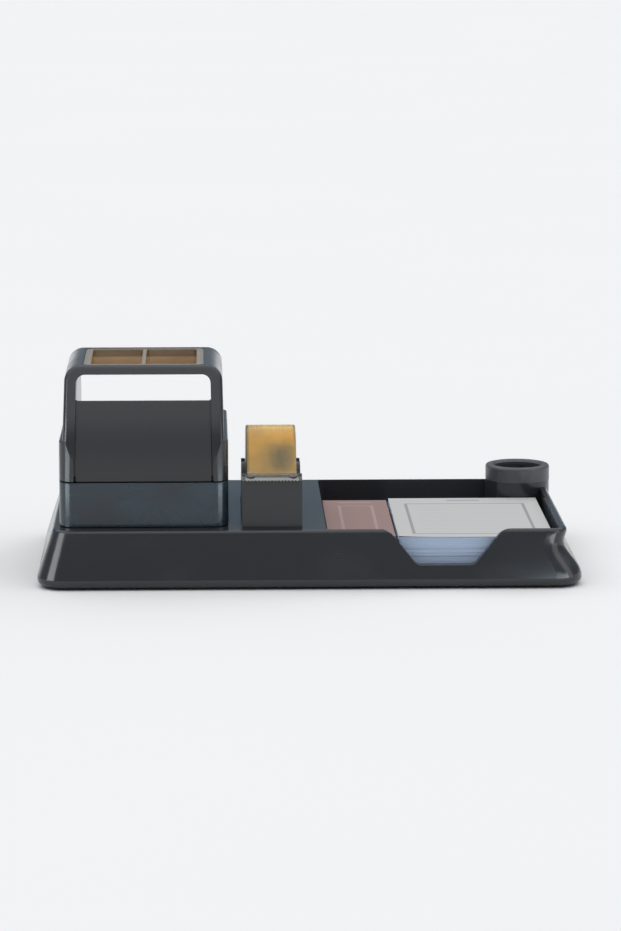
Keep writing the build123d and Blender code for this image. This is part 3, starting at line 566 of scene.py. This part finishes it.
@dataclass(frozen=True)
class Card:
    """Wound grey-brown card with a spiral seam and short fibres."""

    name: str
    colour: Colour = (0.46, 0.34, 0.21)
    shade: Colour = (0.30, 0.21, 0.12)

    def build(self) -> bpy.types.Material:
        """Makes the material.

        Returns:
            The finish, ready to dress a piece in.
        """
        g = Graph.material(self.name)
        fibres = g.noise(1300.0, 4.0, (0.25, 1.0, 1.0), 0.65)
        clouds = g.noise(180.0, 3.0)
        return g.finish({
            "Base Color": g.blend(fibres * 0.6 + clouds * 0.4, self.colour, self.shade),
            "Roughness": fibres * 0.1 + 0.78,
            "Normal": g.bump(fibres, 0.05 * MM, 0.8),
        })


class Print(Enum):
    """What a sheet of paper carries."""

    BLANK = "blank"
    FRAME = "frame"


@dataclass(frozen=True)
class Paper:
    """Paper with fibres, sheet edges on the sides and clouds that mix its colour towards a darker colour,
    which on a stack's sides is painted shade between the sheets, and an optional ruled frame on top.
    """

    name: str
    colour: Colour
    shade: Colour
    ink: Colour
    centre: tuple[float, float, float]
    half: tuple[float, float]
    kind: Print = Print.BLANK
    margin: float = 8.0 * MM
    line: float = 1.05 * MM
    pitch: float = 7.0 * MM
    rule_inset: float = 5.0 * MM
    header_half: float = 8.0 * MM

    def build(self) -> bpy.types.Material:
        """Makes the material.

        Returns:
            The finish, ready to dress a piece in.
        """
        g = Graph.material(self.name)
        fibres = g.noise(1500.0, 4.0, roughness=0.65)
        edges = g.noise(5200.0, 2.0, (0.02, 0.02, 1.0))
        clouds = g.noise(26.0, 2.0)
        # Mix towards the darker colour; on a stack's sides this is painted shade, with dark lines between the
        # sheets and a shaded tone.
        colour = g.blend(fibres * 0.35 + edges * 0.45 + clouds * 0.2, self.colour, self.shade)
        if self.kind is Print.FRAME:
            colour = g.blend(self._lines(g) * 0.62, colour, self.ink)
        return g.finish({
            "Base Color": colour,
            "Roughness": fibres * 0.08 + 0.66,
            "Specular IOR Level": 0.3,
            "Normal": g.bump(fibres * 0.5 + edges * 0.5, 0.03 * MM, 0.5),
        })

    def _lines(self, g: Graph) -> Field:
        """Rounded frame, a short header rule above it and faint writing lines inside it.

        Args:
            g: the material's graph.

        Returns:
            1 on a line, 0 elsewhere.
        """
        x, y, _ = g.axes(self.centre)
        wide, deep = self.half[0] - self.margin, self.half[1] - 1.5 * self.margin
        low = y + 0.5 * self.margin
        edge = (abs(x) - wide).most(abs(low) - deep)
        frame_line = abs(edge).ramp(self.line * 0.5, self.line * 0.9, 1.0, 0.0)
        header_y = self.half[1] - 0.85 * self.margin
        header = (abs(x) - self.header_half).most(abs(y - header_y) - self.line * 0.9)
        header_line = header.ramp(0.0, self.line * 0.4, 1.0, 0.0)
        turn = g.value("ShaderNodeMath", {"operation": "PINGPONG"}, {0: low + 1.0, 1: self.pitch / 2})
        inside = edge.ramp(-self.rule_inset, -self.rule_inset + MM, 1.0, 0.0)
        rule = turn.ramp(self.line * 0.25, self.line * 0.5, 1.0, 0.0) * inside
        return frame_line.most(header_line).most(rule * 0.30)


@dataclass(frozen=True)
class StudioFloor:
    """Pale seamless floor."""

    name: str = "studio_floor"
    colour: Colour = (0.95, 0.94, 0.925)

    def build(self) -> bpy.types.Material:
        """Makes the material.

        Returns:
            The finish, ready to dress a piece in.
        """
        g = Graph.material(self.name)
        tone = g.noise(3.0, 2.0)
        return g.finish({
            "Base Color": g.blend(tone, self.colour, tuple(c * 0.985 for c in self.colour)),
            "Roughness": tone * 0.05 + 0.6,
            "Specular IOR Level": 0.0,
        })


# ---- Mesh helpers -------------------------------------------------------------------------------


def dress(node: str, material: bpy.types.Material) -> None:
    """Gives a CAD node one material, without touching its mesh.

    Args:
        node: the node's name.
        material: its finish.
    """
    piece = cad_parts[node]
    for index in range(len(piece.material_slots)):
        piece.material_slots[index].link = "OBJECT"
        piece.material_slots[index].material = material
    LOG.info("%s dressed in %s", node, material.name)


def add_piece(
    name: str, mesh: BMesh, material: bpy.types.Material, body: str, stands_for: Sequence[str]
) -> None:
    """Turns a bmesh into a piece that rides on a body and stands for CAD nodes.

    Args:
        name: the piece's name.
        mesh: its shape, in place.
        material: its finish.
        body: the CAD body that it moves with.
        stands_for: the CAD nodes that it replaces.
    """
    bmesh.ops.remove_doubles(mesh, verts=mesh.verts, dist=1e-7)
    bmesh.ops.recalc_face_normals(mesh, faces=mesh.faces)
    for face in mesh.faces:
        face.smooth = True
    for edge in mesh.edges:
        edge.smooth = len(edge.link_faces) == 2 and edge.calc_face_angle(0.0) < math.radians(35)
    data = bpy.data.meshes.new(name)
    mesh.to_mesh(data)
    mesh.free()
    data.materials.append(material)
    piece = bpy.data.objects.new(name, data)
    bpy.context.scene.collection.objects.link(piece)
    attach(piece, body)
    if stands_for:
        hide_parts(*stands_for)
    LOG.info("%s: %d faces", name, len(data.polygons))


def lathe(points: Iterable[Point], centre: Vector, steps: int = 128) -> BMesh:
    """Turns a closed outline about an axis along X.

    Args:
        points: (x from the centre, radius) pairs of the closed outline.
        centre: a point on the axis.
        steps: number of segments of the full turn.

    Returns:
        The turned mesh.
    """
    mesh = bmesh.new()
    ring = [mesh.verts.new((centre.x + x, centre.y, centre.z + radius)) for x, radius in points]
    edges = [mesh.edges.new((a, b)) for a, b in zip(ring, ring[1:] + ring[:1])]
    bmesh.ops.spin(
        mesh, geom=ring + edges, cent=centre, axis=(1, 0, 0), dvec=(0, 0, 0), angle=math.tau,
        steps=steps, use_merge=True, use_duplicate=False,
    )
    return mesh


def add_sheet(mesh: BMesh, low: Vector, high: Vector, turn: float, soften: float) -> None:
    """Adds one flat block with softened upright corners, turned a little about its middle.

    Args:
        mesh: the mesh that it joins.
        low: its lowest corner before the turn.
        high: its highest corner before the turn.
        turn: its turn in radians.
        soften: the rounding of its corners.
    """
    size, middle = high - low, (low + high) / 2
    place = Matrix.Translation(middle) @ Matrix.Rotation(turn, 4, "Z") @ Matrix.Diagonal((*size, 1.0))
    made = bmesh.ops.create_cube(mesh, size=1.0, matrix=place)["verts"]
    upright = [
        edge for edge in {e for v in made for e in v.link_edges}
        if abs(edge.verts[0].co.z - edge.verts[1].co.z) > 0.5 * size.z
    ]
    bmesh.ops.bevel(
        mesh, geom=upright, offset=soften, offset_type="OFFSET", segments=3, profile=0.5,
        affect="EDGES", material=-1,
    )


# ---- Sub-assemblies -------------------------------------------------------------------------------


@dataclass
class Base:
    """Long moulding, its plate, screws, feet and ballast."""

    gloss: GlossPlastic = GlossPlastic("gloss_black", (0.034, 0.034, 0.037))
    satin: SatinPlastic = SatinPlastic("satin_black", (0.016, 0.016, 0.019))
    zinc: PlatedSteel = PlatedSteel("zinc_plate", (0.66, 0.65, 0.60), (0.46, 0.46, 0.47))
    mill: PlatedSteel = PlatedSteel("mill_steel", (0.34, 0.33, 0.32), (0.20, 0.19, 0.19), 0.45)
    rubber: MattRubber = MattRubber("foot_rubber")

    def build(self) -> bpy.types.Material:
        """Dresses the base's nodes.

        Returns:
            The gloss material, which the base's neighbours share.
        """
        gloss, satin, zinc = self.gloss.build(), self.satin.build(), self.zinc.build()
        dress("base_shell", gloss)
        for node in ("bottom_plate", "pen_floor"):
            dress(node, satin)
        for node in ("plate_screws", "ballast_screws", "tower_screws", "dispenser_screws"):
            dress(node, zinc)
        dress("ballast_plate", self.mill.build())
        dress("rubber_feet", self.rubber.build())
        return gloss


@dataclass
class Tower:
    """Arched pen tower, its front panel, the amber insert and the drawer below."""

    panel: GlossPlastic = GlossPlastic("panel_black", (0.033, 0.033, 0.035), polish=0.42, smear=0.08)
    smoke: ClearPlastic = ClearPlastic("smoke_blue", (0.044, 0.077, 0.100), (0.040, 0.052, 0.068), 0.35, 0.16)
    amber: Colour = (0.62, 0.40, 0.20)
    deep_amber: Colour = (0.50, 0.30, 0.14)
    # Painted highlight colour for the insert's rim and divider tops.
    amber_highlight: Colour = (0.78, 0.66, 0.52)

    def build(self, gloss: bpy.types.Material) -> None:
        """Dresses the tower's nodes.

        Args:
            gloss: the base's material, which the arch shares.
        """
        dress("tower_shell", gloss)
        dress("tower_panel", self.panel.build())
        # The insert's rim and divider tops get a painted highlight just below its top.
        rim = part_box("pen_insert")[1].z
        amber = ClearPlastic("amber_clear", self.amber, self.deep_amber, 0.50, 0.14, self.amber_highlight, rim)
        dress("pen_insert", amber.build())
        dress("drawer", self.smoke.build())


@dataclass
class TapeDispenser:
    """Front block with its blade, and the roll on its hub."""

    rivet: PlatedSteel = PlatedSteel("rivet_steel", (0.16, 0.155, 0.145), (0.11, 0.105, 0.10), 0.34)
    hub: SatinPlastic = SatinPlastic("hub_plastic", (0.055, 0.055, 0.060))
    film: TapeFilm = TapeFilm("tape_film")
    card: Card = Card("core_card")
    film_thickness: float = 0.10 * MM
    film_gap: float = 0.06 * MM
    wrap: float = math.radians(14.0)
    overhang: float = 1.6 * MM
    front_drop: float = 0.45 * MM
    teeth: int = 14
    tooth: float = 0.7 * MM
    side_gap: float = 0.25 * MM
    ridge_rest: float = 1.5 * MM
    sag: float = 0.25 * MM
    wrap_steps: int = 4
    run_steps: int = 10
    rim_rounding: float = 0.8 * MM
    rim_steps: int = 4
    side_turns: int = 26
    ripple_mm: tuple[float, ...] = (0.00, 0.05, 0.02, 0.07, 0.01, 0.04, 0.00, 0.06, 0.03)
    core_wall: float = 1.6 * MM
    core_rounding: float = 0.3 * MM

    def __post_init__(self) -> None:
        """Reads the roll's place from the frame."""
        low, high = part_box("tape_roll")
        self.centre = (low + high) / 2
        self.half_width = (high.x - low.x) / 2
        self.radius = (high.z - low.z) / 2

    def build(self, gloss: bpy.types.Material) -> None:
        """Dresses the block and adds the roll, its core and the free end.

        Args:
            gloss: the base's material, which the block shares.
        """
        dress("dispenser_body", gloss)
        edge_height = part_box("cutter_blade")[0].z
        dress("cutter_blade", BrushedSteel("blade_steel", edge_height).build())
        dress("blade_rivets", self.rivet.build())
        hub = self.hub.build()
        dress("hub_left", hub)
        dress("hub_right", hub)
        tape = WoundTape("wound_tape", tuple(self.centre), self.half_width, self.radius).build()
        add_piece("wound_roll", self._roll(), tape, "tape_spool", ["tape_roll"])
        add_piece("card_core", self._core(), self.card.build(), "tape_spool", ["tape_core"])
        add_piece("free_end", self._free_end(), self.film.build(), "base", ["tape_lead"])

    def _roll(self) -> BMesh:
        """The wound tape: flat sides with a few turns set back, and a softened rim.

        Returns:
            The roll.
        """
        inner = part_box("tape_core")[1].z - self.centre.z
        soft = self.rim_rounding
        right: list[Point] = []
        for i in range(self.side_turns + 1):
            radius = inner + (self.radius - soft - inner) * i / self.side_turns
            right.append((self.half_width - self.ripple_mm[i % len(self.ripple_mm)] * MM, radius))
        for i in range(1, self.rim_steps + 1):
            angle = math.pi / 2 * i / self.rim_steps
            side = self.half_width - soft * (1 - math.cos(angle))
            right.append((side, self.radius - soft * (1 - math.sin(angle))))
        left = [(-x, radius) for x, radius in reversed(right)]
        return lathe(right + left, self.centre)

    def _core(self) -> BMesh:
        """Card tube with softened ends.

        Returns:
            The tube.
        """
        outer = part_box("tape_core")[1].z - self.centre.z
        inner = outer - self.core_wall
        soft = self.core_rounding
        end = self.half_width
        right = [(end - soft, inner), (end, inner + soft), (end, outer - soft), (end - soft, outer)]
        left = [(-x, radius) for x, radius in reversed(right)]
        return lathe(right + left, self.centre, 96)

    def _path(self) -> list[Point]:
        """Side view of the free end, from the roll's top front down to the ridge of the block.

        Returns:
            (y, z) points.
        """
        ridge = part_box("tape_lead")[0]
        rest = Vector((ridge.y + self.ridge_rest, ridge.z + self.film_gap))
        hub = Vector((self.centre.y, self.centre.z))
        reach = self.radius + self.film_gap
        away = hub - rest
        tilt = math.atan2(away.y, away.x) + math.asin(reach / away.length)
        touch = math.pi / 2 + tilt
        points: list[Point] = []
        for i in range(self.wrap_steps + 1):
            angle = touch - self.wrap * (1 - i / self.wrap_steps)
            points.append((hub.x + reach * math.cos(angle), hub.y + reach * math.sin(angle)))
        start = Vector(points[-1])
        for i in range(1, self.run_steps + 1):
            t = i / self.run_steps
            spot = start.lerp(rest, t)
            points.append((spot.x, spot.y - self.sag * math.sin(math.pi * t)))
        points.append((ridge.y + 0.2 * MM, rest.y))
        points.append((ridge.y - 0.5 * self.overhang, rest.y - 0.1 * MM))
        points.append((ridge.y - self.overhang, rest.y - self.front_drop))
        return points

    def _free_end(self) -> BMesh:
        """Strip of tape along the path, its torn edge toothed, given its thickness outwards.

        Returns:
            The strip.
        """
        mesh = bmesh.new()
        half = self.half_width - self.side_gap
        path = self._path()
        columns = 2 * self.teeth
        first = [
            mesh.verts.new((self.centre.x - half + 2 * half * i / columns, *path[0]))
            for i in range(columns + 1)
        ]
        row = [mesh.edges.new(pair) for pair in zip(first, first[1:])]
        for (y0, z0), (y1, z1) in zip(path, path[1:]):
            made = bmesh.ops.extrude_edge_only(mesh, edges=row)["geom"]
            row = [part for part in made if isinstance(part, bmesh.types.BMEdge)]
            moved = [part for part in made if isinstance(part, BMVert)]
            bmesh.ops.translate(mesh, verts=moved, vec=(0, y1 - y0, z1 - z0))
            last = moved
        for vert in last:
            column = round((vert.co.x - self.centre.x + half) / (2 * half) * columns)
            vert.co.y += self.tooth if column % 2 else 0.0
        bmesh.ops.recalc_face_normals(mesh, faces=mesh.faces)
        bmesh.ops.solidify(mesh, geom=mesh.faces[:], thickness=-self.film_thickness)
        return mesh


@dataclass(frozen=True)
class PaperTones:
    """Colours of one stack: its top, its sides, painted shade for the gaps between its sheets, and its print.
    """

    top: Colour
    side: Colour
    gap: Colour
    ink: Colour


@dataclass
class MemoTray:
    """White sheets and a pink pad in the tray."""

    seed: int = 7
    bundles: int = 20
    shuffle: float = 0.28 * MM
    turn: float = math.radians(0.16)
    corner: float = 0.5 * MM
    top_thickness: float = 0.12 * MM
    gap_share: float = 0.06
    sheet_inset: float = 0.15 * MM
    lift: float = 0.5 * MM
    lift_share: float = 0.25
    # The white stack's sides and gaps are painted bluish shade; its top keeps the paper's own white.
    white: PaperTones = PaperTones(
        top=(0.59, 0.585, 0.57), side=(0.58, 0.66, 0.79), gap=(0.43, 0.54, 0.72), ink=(0.24, 0.19, 0.22)
    )
    # The pink stack's gap colour is painted shade between its sheets.
    pink: PaperTones = PaperTones(
        top=(0.34, 0.225, 0.205), side=(0.36, 0.235, 0.22), gap=(0.24, 0.15, 0.15), ink=(0.46, 0.36, 0.34)
    )

    def build(self) -> None:
        """Adds the stacks and their top sheets."""
        self._stack("memo", "memo_sheets", "paper_white", self.white)
        self._stack("pad", "note_pad", "paper_pink", self.pink)

    def _stack(self, name: str, node: str, slot: str, tones: PaperTones) -> None:
        """Adds one stack of bundles and a top sheet.

        Args:
            name: start of the pieces' names.
            node: the CAD block that the stack replaces.
            slot: a material slot's name; not used.
            tones: the stack's colours.
        """
        low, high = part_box(node)
        middle = (low + high) / 2
        half = ((high.x - low.x) / 2, (high.y - low.y) / 2)
        rng = random.Random(f"{self.seed}{name}")
        mesh = bmesh.new()
        step = (high.z - low.z - self.top_thickness) / self.bundles
        inset = self.shuffle + 0.1 * MM
        for i in range(self.bundles):
            z = low.z + i * step
            drift = Vector((rng.uniform(-1, 1), rng.uniform(-1, 1), 0)) * self.shuffle
            corner_low = Vector((low.x + inset, low.y + inset, z)) + drift
            top = z + step * (1 - self.gap_share)
            corner_high = Vector((high.x - inset, high.y - inset, top)) + drift
            add_sheet(mesh, corner_low, corner_high, rng.uniform(-1, 1) * self.turn, self.corner)
        # The stack's sides are drawn in its side and gap colours, which carry painted shade.
        plain = Paper(f"{name}_paper", tones.side, tones.gap, tones.ink, tuple(middle), half).build()
        add_piece(f"{name}_stack", mesh, plain, "base", [node])
        shade = tuple(0.97 * c for c in tones.top)
        printed = Paper(
            f"{name}_printed", tones.top, shade, tones.ink, tuple(middle), half, Print.FRAME
        ).build()
        add_piece(f"{name}_top_sheet", self._top_sheet(low, high), printed, "base", [])

    def _top_sheet(self, low: Vector, high: Vector) -> BMesh:
        """One sheet with a slight lift at its front corners.

        Args:
            low: lowest corner of the stack.
            high: highest corner of the stack.

        Returns:
            The sheet.
        """
        mesh = bmesh.new()
        width, depth = high.x - low.x - 2 * self.sheet_inset, high.y - low.y - 2 * self.sheet_inset
        level = high.z - self.top_thickness
        place = Matrix.Translation(((low.x + high.x) / 2, (low.y + high.y) / 2, level))
        grown = place @ Matrix.Diagonal((width, depth, 1.0, 1.0))
        bmesh.ops.create_grid(mesh, x_segments=24, y_segments=30, size=0.5, matrix=grown)
        for vert in mesh.verts:
            across = abs(vert.co.x - (low.x + high.x) / 2) / (width / 2)
            reach = self.lift_share * depth
            front = max(0.0, (low.y + reach - vert.co.y) / reach)
            vert.co.z += self.lift * front**2 * across**3
        bmesh.ops.recalc_face_normals(mesh, faces=mesh.faces)
        bmesh.ops.solidify(mesh, geom=mesh.faces[:], thickness=self.top_thickness * 0.8)
        return mesh


@dataclass
class ClipCup:
    """Cup with its collar and magnet."""

    grey: SatinPlastic = SatinPlastic("satin_grey", (0.066, 0.066, 0.074), roughness=0.36)
    ferrite: PlatedSteel = PlatedSteel("ferrite", (0.13, 0.13, 0.135), (0.08, 0.08, 0.085), 0.5)

    def build(self) -> None:
        """Dresses the cup, its collar and its magnet."""
        grey = self.grey.build()
        dress("clip_cup", grey)
        dress("cup_collar", grey)
        dress("ring_magnet", self.ferrite.build())


@dataclass
class Studio:
    """Floor, surroundings, lights and camera."""

    camera_side: float = -0.0493
    camera_distance: float = 1.825
    camera_height: float = 0.354
    aim: tuple[float, float, float] = (0.002, 0.0, 0.047)
    image: tuple[int, int] = (621, 931)
    object_share: float = 0.90
    floor_radius: float = 40.0
    sky_strength: float = 1.44
    sky: tuple[tuple[float, Colour], ...] = (
        (0.00, (0.60, 0.60, 0.61)),
        (0.05, (0.50, 0.51, 0.53)),
        (0.10, (0.104, 0.142, 0.175)),
        (0.38, (0.095, 0.136, 0.172)),
        (0.62, (0.70, 0.72, 0.75)),
        (1.00, (1.00, 1.00, 1.00)),
    )
    panel_bearing: float = math.radians(64.0)
    panel_distance: float = 1.0
    panel_size: tuple[float, float] = (0.50, 0.62)
    left_power: float = 5.0
    right_power: float = 1.3
    strip_bearing: float = math.radians(62.5)
    strip_distance: float = 0.20
    strip_width: float = 0.12
    left_strip_height: float = 0.034
    right_strip_height: float = 0.020
    strip_glow: float = 15.0
    strip_colour: Colour = (0.78, 0.92, 1.0)

    def build(self) -> None:
        """Sets the stage."""
        self._floor()
        self._camera()
        self._surroundings()
        ground = Vector((0.0, 0.0, 0.0))
        for name, side, power in (("left_panel", -1, self.left_power), ("right_panel", 1, self.right_power)):
            panel = self._panel(name, ground, side * self.panel_bearing, self.panel_distance, self.panel_size)
            panel.energy = power
        low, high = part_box("drawer")
        self._strip("left_strip", Vector((low.x, low.y, 0.0)), -self.strip_bearing, self.left_strip_height)
        self._strip("right_strip", Vector((high.x, low.y, 0.0)), self.strip_bearing, self.right_strip_height)
        bpy.context.scene.view_settings.view_transform = "Standard"

    def _floor(self) -> None:
        """Pale floor that runs out to the horizon."""
        mesh = bmesh.new()
        bmesh.ops.create_circle(mesh, cap_ends=True, radius=self.floor_radius, segments=96)
        data = bpy.data.meshes.new("floor")
        mesh.to_mesh(data)
        mesh.free()
        data.materials.append(StudioFloor().build())
        floor = bpy.data.objects.new("floor", data)
        bpy.context.scene.collection.objects.link(floor)

    def _camera(self) -> None:
        """Camera at the photograph's viewing angle, with the object across most of the width."""
        data = bpy.data.cameras.new("camera")
        camera = bpy.data.objects.new("camera", data)
        bpy.context.scene.collection.objects.link(camera)
        camera.location = (self.camera_side, -self.camera_distance, self.camera_height)
        direction = Vector(self.aim) - camera.location
        camera.rotation_euler = direction.to_track_quat("-Z", "Y").to_euler()
        low, high = CAD_BOX
        near = self.camera_distance + low.y
        image_share = self.object_share * self.image[0] / self.image[1]
        data.lens = image_share * data.sensor_width * near / (high.x - low.x)
        bpy.context.scene.camera = camera

    def _surroundings(self) -> None:
        """Soft room by height: pale at the horizon, dim and bluish just above it, bright overhead."""
        world = bpy.data.worlds.new("surroundings")
        g = Graph(world, "Generated")
        height = Field(g, g.node("ShaderNodeSeparateXYZ", None, {0: g.place}).outputs["Z"])
        colour = g.value("ShaderNodeValToRGB", {"stops": self.sky}, {"Fac": height})
        light = g.value("ShaderNodeBackground", None, {"Color": colour, "Strength": self.sky_strength})
        g.node("ShaderNodeOutputWorld", None, {"Surface": light})
        bpy.context.scene.world = world

    def _strip(self, name: str, corner: Vector, bearing: float, height: float) -> None:
        """Low cool light that only shows as a highlight on a rounded upright edge.

        Args:
            name: its name.
            corner: the spot on the floor below that edge.
            bearing: its direction from that spot.
            height: its height.
        """
        strip = self._panel(name, corner, bearing, self.strip_distance, (self.strip_width, height))
        strip.energy = self.strip_glow * self.strip_width * height
        strip.color = self.strip_colour

    @staticmethod
    def _panel(
        name: str, faces: Vector, bearing: float, distance: float, size: tuple[float, float]
    ) -> bpy.types.AreaLight:
        """Upright soft light that stands on the floor, unseen itself, and only makes highlights.

        Args:
            name: its name.
            faces: the spot on the floor that it faces.
            bearing: its direction from that spot, from the front and positive to the right.
            distance: its distance from that spot.
            size: its width and height.

        Returns:
            The light's data, for its power and colour.
        """
        data = bpy.data.lights.new(name, "AREA")
        data.shape = "RECTANGLE"
        data.size, data.size_y = size
        light = bpy.data.objects.new(name, data)
        bpy.context.scene.collection.objects.link(light)
        away = Vector((math.sin(bearing), -math.cos(bearing), 0.0))
        light.location = faces + distance * away + Vector((0.0, 0.0, size[1] / 2 + MM))
        light.rotation_euler = (-away).to_track_quat("-Z", "Y").to_euler()
        light.visible_camera = False
        light.visible_diffuse = False
        return data


def main() -> None:
    """Builds the looks in order."""
    logging.basicConfig(level=logging.INFO, format="%(name)s: %(message)s")
    gloss = Base().build()
    Tower().build(gloss)
    TapeDispenser().build(gloss)
    MemoTray().build()
    ClipCup().build()
    Studio().build()


if __name__ == "__main__":
    main()
